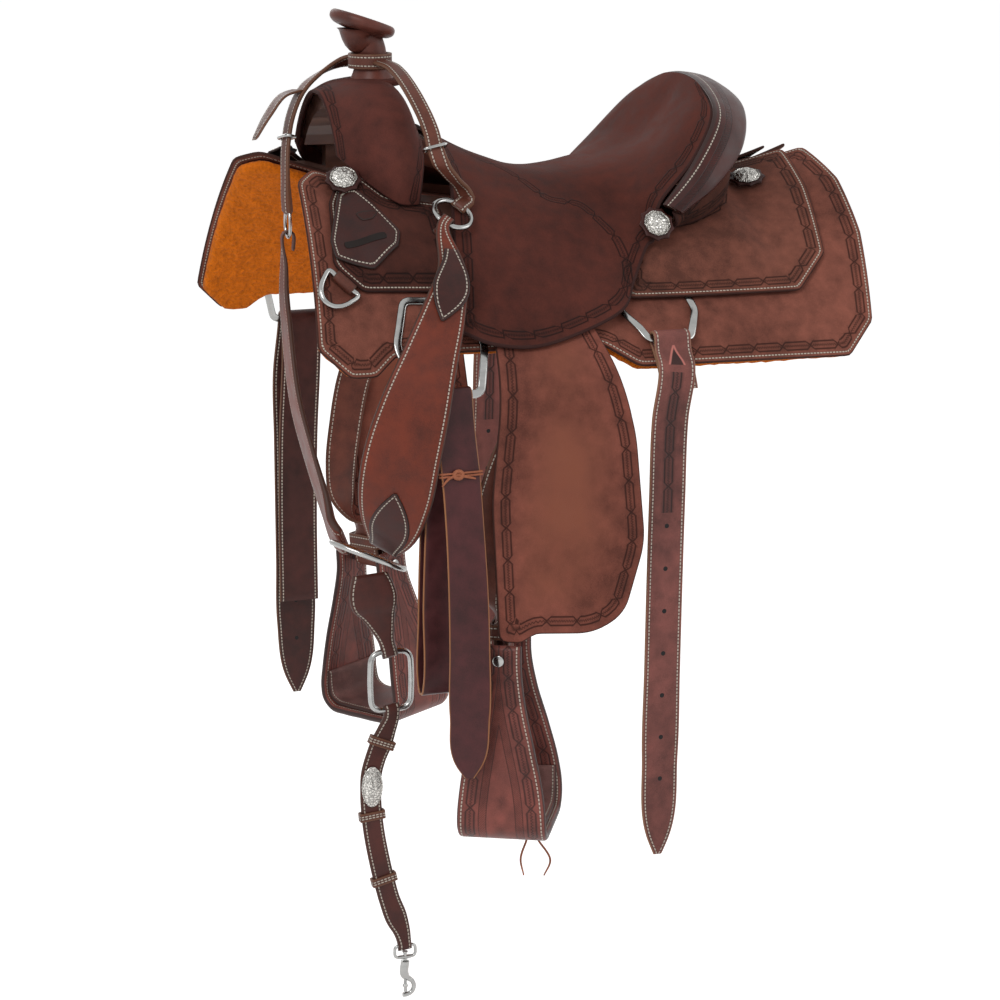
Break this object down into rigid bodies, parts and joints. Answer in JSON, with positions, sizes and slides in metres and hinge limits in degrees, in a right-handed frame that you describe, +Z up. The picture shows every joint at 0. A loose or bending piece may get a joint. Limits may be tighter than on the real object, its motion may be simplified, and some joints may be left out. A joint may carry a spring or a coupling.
{
  "type": "team roping saddle",
  "caption": "Western roping saddle with breast collar, fenders, stirrups, cinch straps and a wrapped horn.",
  "frame": {"origin": "midway between the tree's two bars, at the height where they rest on a back or a rack", "axes": "+X to the near (left) side, +Y to the cantle, +Z up"},
  "size_m": [0.7301, 0.6965, 1.1177],
  "materials": {
    "roughout": "rough side out, oiled",
    "smooth_leather": "smooth, waxed",
    "dark_leather": "smooth, oiled dark",
    "fleece": "woollen pile",
    "wood": "wood under rawhide",
    "steel": "polished stainless",
    "silver": "engraved nickel silver"
  },
  "bodies": {
    "saddle": {"cantle_back": "roughout", "cantle_roll": "smooth_leather", "collar_ring_near": "steel", "collar_ring_off": "steel", "collar_tab_near": "smooth_leather", "collar_tab_off": "smooth_leather", "fleece_near": "fleece", "fleece_off": "fleece", "fork_cover": "roughout", "front_concho_near": "silver", "front_concho_off": "silver", "front_jockey_near": "roughout", "front_jockey_off": "roughout", "front_rigging_near": "steel", "front_rigging_off": "steel", "ground_seat": "smooth_leather", "horn": "smooth_leather", "horn_strap": "smooth_leather", "latigo_keeper_near": "smooth_leather", "latigo_keeper_off": "smooth_leather", "rear_concho_near": "silver", "rear_concho_off": "silver", "rear_jockey_near": "roughout", "rear_jockey_off": "roughout", "rear_rigging_near": "steel", "rear_rigging_off": "steel", "seat_concho_near": "silver", "seat_concho_off": "silver", "seat_leather": "roughout", "skirt_near": "roughout", "skirt_off": "roughout", "tree": "wood", "tug_buckle_near": "steel", "tug_buckle_off": "steel"},
    "fender_near": {"fender_near": "roughout", "stirrup_leather_near": "smooth_leather", "hobble_near": "smooth_leather"},
    "stirrup_near": {"stirrup_near": "dark_leather", "stirrup_bolt_near": "steel"},
    "fender_off": {"fender_off": "roughout", "stirrup_leather_off": "smooth_leather", "hobble_off": "smooth_leather"},
    "stirrup_off": {"stirrup_off": "dark_leather", "stirrup_bolt_off": "steel"},
    "latigo": {"latigo": "dark_leather"},
    "off_billet": {"off_billet": "smooth_leather"},
    "rear_billet_near": {"rear_billet_near": "smooth_leather"},
    "rear_billet_off": {"rear_billet_off": "smooth_leather"},
    "collar_dee_near": {"collar_dee_near": "steel"},
    "collar_dee_off": {"collar_dee_off": "steel"},
    "collar": {"collar_near": "smooth_leather", "collar_off": "smooth_leather", "hub_ring": "steel", "hub_tug": "dark_leather"},
    "tug_ring": {"tug_ring": "steel"},
    "tie_down": {"tie_down_strap": "dark_leather", "tie_down_buckle": "silver", "snap_eye": "steel"},
    "snap": {"snap_body": "steel"},
    "snap_plunger": {"snap_plunger": "steel"}
  },
  "joints": [
    {"name": "fender_swing_near", "type": "hinge", "parent": "saddle", "child": "fender_near", "pos_m": [0.23007, -0.05, -0.09296], "axis": [0.6998, 0.0451, 0.7129], "range_deg": [0, 9]},
    {"name": "fender_swing_off", "type": "hinge", "parent": "saddle", "child": "fender_off", "pos_m": [-0.23007, -0.05, -0.09296], "axis": [-0.6998, 0.0451, 0.7129], "range_deg": [-3, 3]},
    {"name": "stirrup_swing_near", "type": "hinge", "parent": "fender_near", "child": "stirrup_near", "pos_m": [0.2765, -0.101, -0.459], "axis": [0.866, -0.5, 0], "range_deg": [-30, 10]},
    {"name": "stirrup_swing_off", "type": "hinge", "parent": "fender_off", "child": "stirrup_off", "pos_m": [-0.27727, -0.07135, -0.48763], "axis": [-0.8981, -0.4384, -0.0354], "range_deg": [-8, 12]},
    {"name": "latigo_swing", "type": "hinge", "parent": "saddle", "child": "latigo", "pos_m": [0.27649, -0.163, -0.16567], "axis": [0, 1, 0], "range_deg": [0, 4]},
    {"name": "off_billet_swing", "type": "hinge", "parent": "saddle", "child": "off_billet", "pos_m": [-0.27649, -0.163, -0.16567], "axis": [0, 1, 0], "range_deg": [-5, 50]},
    {"name": "rear_billet_swing_near", "type": "hinge", "parent": "saddle", "child": "rear_billet_near", "pos_m": [0.25598, 0.105, -0.12218], "axis": [0, 1, 0], "range_deg": [-45, 0]},
    {"name": "rear_billet_swing_off", "type": "hinge", "parent": "saddle", "child": "rear_billet_off", "pos_m": [-0.25598, 0.105, -0.12218], "axis": [0, 1, 0], "range_deg": [0, 2]},
    {"name": "collar_dee_swing_near", "type": "hinge", "parent": "saddle", "child": "collar_dee_near", "pos_m": [0.21473, -0.2633, -0.04632], "axis": [0.3288, 0.6765, -0.659], "range_deg": [-60, 0]},
    {"name": "collar_dee_swing_off", "type": "hinge", "parent": "saddle", "child": "collar_dee_off", "pos_m": [-0.21473, -0.2633, -0.04632], "axis": [0.3288, -0.6765, 0.659], "range_deg": [-60, 0]},
    {"name": "collar_swing", "type": "hinge", "parent": "saddle", "child": "collar", "pos_m": [0.18646, -0.13609, 0.00889], "axis": [0.8238, 0.5474, 0.1475], "range_deg": [-10, 0]},
    {"name": "tug_ring_swing", "type": "hinge", "parent": "collar", "child": "tug_ring", "pos_m": [0.2, -0.2085, -0.4692], "axis": [0, 1, 0], "range_deg": [-35, 35]},
    {"name": "tie_down_swing", "type": "hinge", "parent": "tug_ring", "child": "tie_down", "pos_m": [0.2, -0.2085, -0.5368], "axis": [0, 1, 0], "range_deg": [-40, 40]},
    {"name": "snap_swivel", "type": "hinge", "parent": "tie_down", "child": "snap", "pos_m": [0.2, -0.194, -0.836], "axis": [0, 0, 1], "continuous": true},
    {"name": "snap_thumb_slide", "type": "slide", "parent": "snap", "child": "snap_plunger", "axis": [0, 0, 1], "range_m": [0, 0.004], "stiffness_N_per_m": 100, "springref_m": -0.002}
  ]
}
